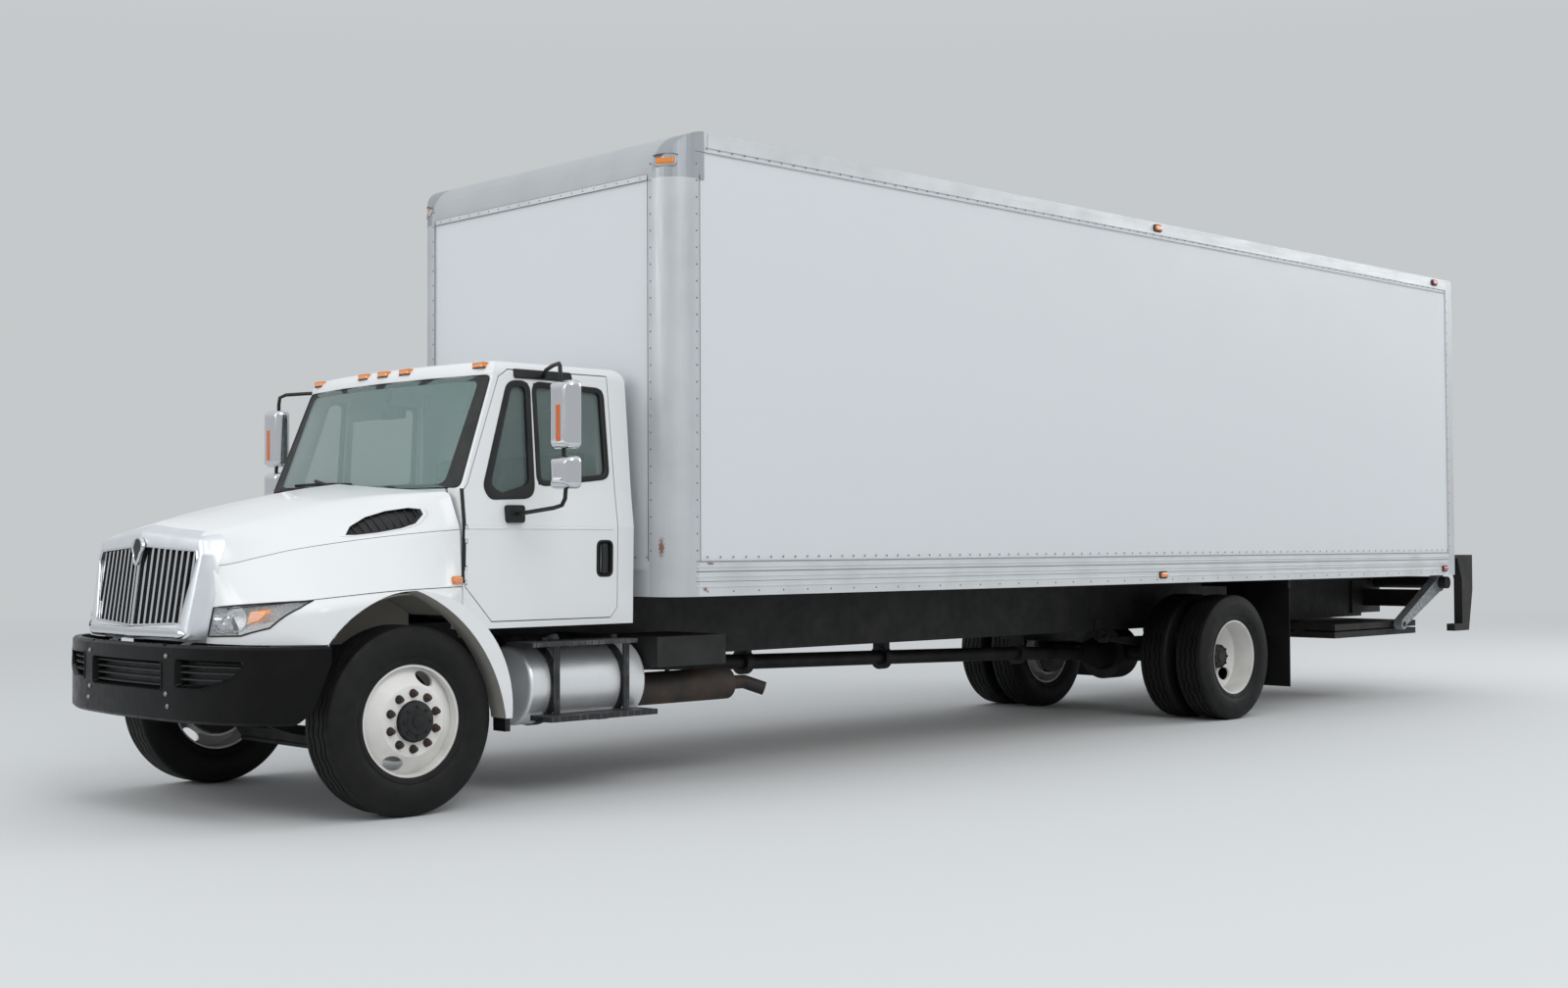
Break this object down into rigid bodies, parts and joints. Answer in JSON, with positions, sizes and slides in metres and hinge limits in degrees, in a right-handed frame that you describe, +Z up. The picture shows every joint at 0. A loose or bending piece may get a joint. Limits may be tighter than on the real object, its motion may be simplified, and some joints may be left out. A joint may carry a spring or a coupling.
{
  "type": "box truck",
  "caption": "Conventional-cab straight truck with a long dry-freight box, tilting hood, opening doors, steered front wheels and a folding platform liftgate.",
  "frame": {"origin": "ground level under the middle of the truck's overall length and width", "axes": "+X forward, +Y to the truck's left, +Z up"},
  "size_m": [12.6, 3.19, 3.7959],
  "materials": {
    "white_paint": "gloss white paint",
    "black_steel": "satin black chassis paint",
    "rubber_tread": "matt black rubber",
    "galvanised_steel": "galvanised",
    "aluminium": "mill finish",
    "cast_aluminium": "rough casting",
    "painted_panel": "pre-painted white sheet",
    "plywood": "laminated hardwood",
    "tinted_glass": "green tinted, clear",
    "clear_lens": "clear moulded lens",
    "lamp_tray": "bright reflector",
    "bright_trim": "bright plated",
    "black_plastic": "grained black",
    "seat_cloth": "woven grey cloth",
    "amber_plastic": "moulded lens",
    "red_plastic": "moulded lens",
    "flap_rubber": "matt black"
  },
  "bodies": {
    "chassis": {"cab_sides": "white_paint", "cab_roof": "white_paint", "cab_end_walls": "white_paint", "frame_rails": "black_steel", "leaf_springs": "black_steel", "front_axle": "black_steel", "rear_axle": "black_steel", "driveshaft": "black_steel", "engine": "black_steel", "battery_box": "black_steel", "steps_and_tank_straps": "black_steel", "bumper": "black_steel", "body_sills": "black_steel", "body_crossmembers": "black_steel", "liftgate_mount": "black_steel", "exhaust": "black_steel", "rear_frame": "aluminium", "side_rails": "aluminium", "corner_posts": "aluminium", "nose_rail": "aluminium", "roof_panel": "aluminium", "fuel_tank": "aluminium", "rear_door": "aluminium", "corner_caps": "cast_aluminium", "wall_panels": "painted_panel", "body_floor": "plywood", "cab_glass": "tinted_glass", "dashboard": "black_plastic", "steering_wheel": "black_plastic", "cab_floor": "black_plastic", "seats": "seat_cloth", "amber_lamps": "amber_plastic", "red_lamps": "red_plastic", "mud_flaps": "flap_rubber"},
    "hood": {"hood": "white_paint", "grille_surround": "bright_trim", "grille_bars": "bright_trim", "grille_mesh": "black_plastic", "headlamps": "lamp_tray", "headlamp_lenses": "clear_lens", "wheel_liners": "black_plastic"},
    "door_left": {"door_left": "white_paint", "door_glass_left": "tinted_glass", "mirror_left": "bright_trim"},
    "door_right": {"door_right": "white_paint", "door_glass_right": "tinted_glass", "mirror_right": "bright_trim"},
    "steering_knuckle_left": {"knuckle_left": "black_steel"},
    "steering_knuckle_right": {"knuckle_right": "black_steel"},
    "track_rod": {"tie_rod": "black_steel"},
    "wheel_front_left": {"tyre_front_left": "rubber_tread", "rim_front_left": "white_paint"},
    "wheel_front_right": {"tyre_front_right": "rubber_tread", "rim_front_right": "white_paint"},
    "wheels_rear_left": {"tyres_rear_left": "rubber_tread", "rims_rear_left": "white_paint"},
    "wheels_rear_right": {"tyres_rear_right": "rubber_tread", "rims_rear_right": "white_paint"},
    "liftgate_arms": {"liftgate_arms": "galvanised_steel"},
    "liftgate_platform": {"liftgate_platform": "galvanised_steel"}
  },
  "joints": [
    {"name": "steer_left", "type": "hinge", "parent": "chassis", "child": "steering_knuckle_left", "pos_m": [5.28, 0.84, 0.492], "axis": [0, 0, 1], "range_deg": [-38, 38]},
    {"name": "steer_right", "type": "hinge", "parent": "chassis", "child": "steering_knuckle_right", "pos_m": [5.28, -0.84, 0.492], "axis": [0, 0, 1], "range_deg": [-38, 38]},
    {"name": "track_rod_pivot", "type": "hinge", "parent": "steering_knuckle_left", "child": "track_rod", "pos_m": [5.11, 0.84, 0.4], "axis": [0, 0, 1], "range_deg": [-38, 38]},
    {"name": "wheel_front_left_spin", "type": "hinge", "parent": "steering_knuckle_left", "child": "wheel_front_left", "pos_m": [5.28, 1.016, 0.492], "axis": [0, 1, 0], "continuous": true},
    {"name": "wheel_front_right_spin", "type": "hinge", "parent": "steering_knuckle_right", "child": "wheel_front_right", "pos_m": [5.28, -1.016, 0.492], "axis": [0, 1, 0], "continuous": true},
    {"name": "wheels_rear_left_spin", "type": "hinge", "parent": "chassis", "child": "wheels_rear_left", "pos_m": [-2.31, 0.927, 0.492], "axis": [0, 1, 0], "continuous": true},
    {"name": "wheels_rear_right_spin", "type": "hinge", "parent": "chassis", "child": "wheels_rear_right", "pos_m": [-2.31, -0.927, 0.492], "axis": [0, 1, 0], "continuous": true},
    {"name": "hood_tilt", "type": "hinge", "parent": "chassis", "child": "hood", "pos_m": [6.25, 0, 0.845], "axis": [0, 1, 0], "range_deg": [0, 75]},
    {"name": "door_left_hinge", "type": "hinge", "parent": "chassis", "child": "door_left", "pos_m": [4.879, 1.03, 1.3], "axis": [0, 0, -1], "range_deg": [0, 70]},
    {"name": "door_right_hinge", "type": "hinge", "parent": "chassis", "child": "door_right", "pos_m": [4.879, -1.03, 1.3], "axis": [0, 0, 1], "range_deg": [0, 70]},
    {"name": "liftgate_lower", "type": "hinge", "parent": "chassis", "child": "liftgate_arms", "pos_m": [-5.97, 0, 1.02], "axis": [0, 1, 0], "range_deg": [0, 60]},
    {"name": "liftgate_platform_level", "type": "hinge", "parent": "liftgate_arms", "child": "liftgate_platform", "pos_m": [-5.27, 0, 0.655], "axis": [0, 1, 0], "range_deg": [-60, 0]}
  ],
  "couplings": [
    {"joint": "steer_right", "follows": "steer_left", "ratio": 1},
    {"joint": "track_rod_pivot", "follows": "steer_left", "ratio": -1},
    {"joint": "liftgate_platform_level", "follows": "liftgate_lower", "ratio": -1}
  ]
}
